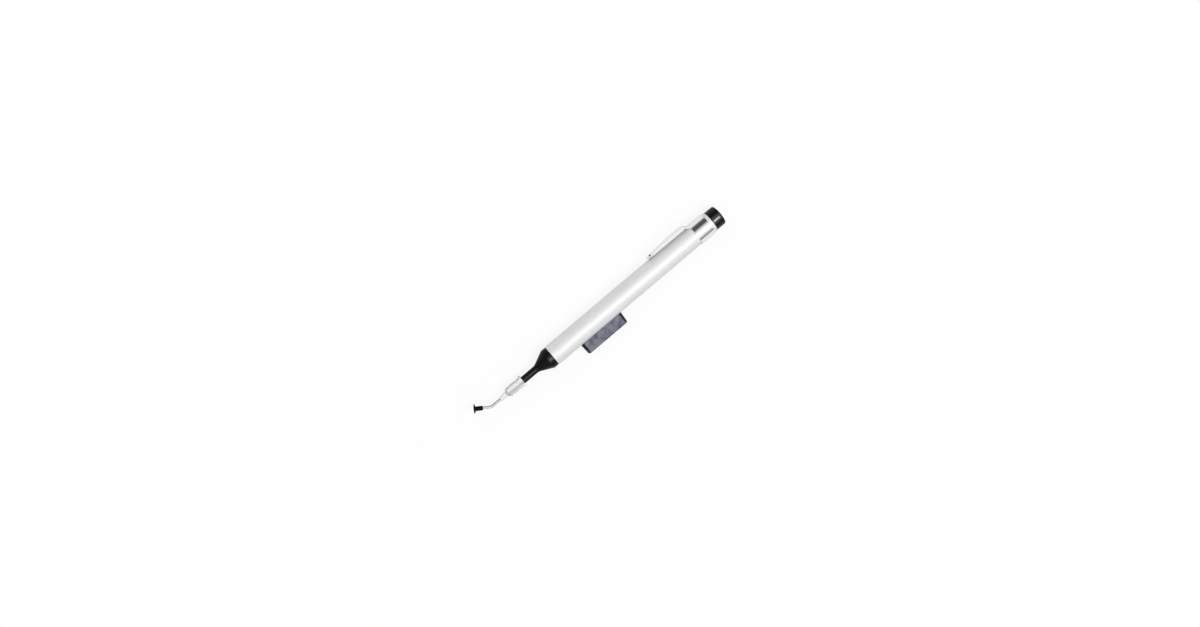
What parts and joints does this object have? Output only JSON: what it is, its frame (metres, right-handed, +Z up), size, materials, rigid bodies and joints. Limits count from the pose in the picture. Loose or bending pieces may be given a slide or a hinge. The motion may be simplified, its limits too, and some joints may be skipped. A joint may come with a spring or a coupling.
{
  "type": "vacuum pick-up pen",
  "caption": "Pen-shaped hand vacuum tool with a side button over a squeeze bulb, a bent slip-on needle tip with a suction cup, and a pocket clip.",
  "frame": {"origin": "the middle of the lying pen's box, on the surface that it rests on", "axes": "+X along the pen from its tip to its tail, +Z up; the clip is on the +Y side and the button on the -Y side, rolled down until its edge touches the surface"},
  "size_m": [0.1798, 0.0226, 0.014],
  "materials": {
    "satin_aluminium": "satin anodised",
    "black_plastic": "moulded, half gloss",
    "button_plastic": "moulded, half gloss",
    "bulb_rubber": "smooth rubber",
    "bright_chrome": "polished",
    "natural_plastic": "milky, unpigmented",
    "needle_steel": "drawn tube",
    "cup_rubber": "matt rubber"
  },
  "bodies": {
    "barrel": {"barrel": "satin_aluminium", "nose_cone": "black_plastic", "squeeze_bulb": "bulb_rubber", "pocket_clip": "bright_chrome", "end_cap": "black_plastic"},
    "button": {"push_button": "button_plastic"},
    "tip": {"tip_hub": "natural_plastic", "tip_needle": "needle_steel", "suction_cup": "cup_rubber"}
  },
  "joints": [
    {"name": "button_press", "type": "slide", "parent": "barrel", "child": "button", "axis": [0, 0.9311, 0.3646], "range_m": [0, 0.004], "stiffness_N_per_m": 600, "springref_m": -0.002, "deforming": ["squeeze_bulb"]},
    {"name": "tip_twist", "type": "hinge", "parent": "barrel", "child": "tip", "pos_m": [-0.05711, 0.00197, 0.00698], "axis": [1, 0, 0], "continuous": true}
  ]
}
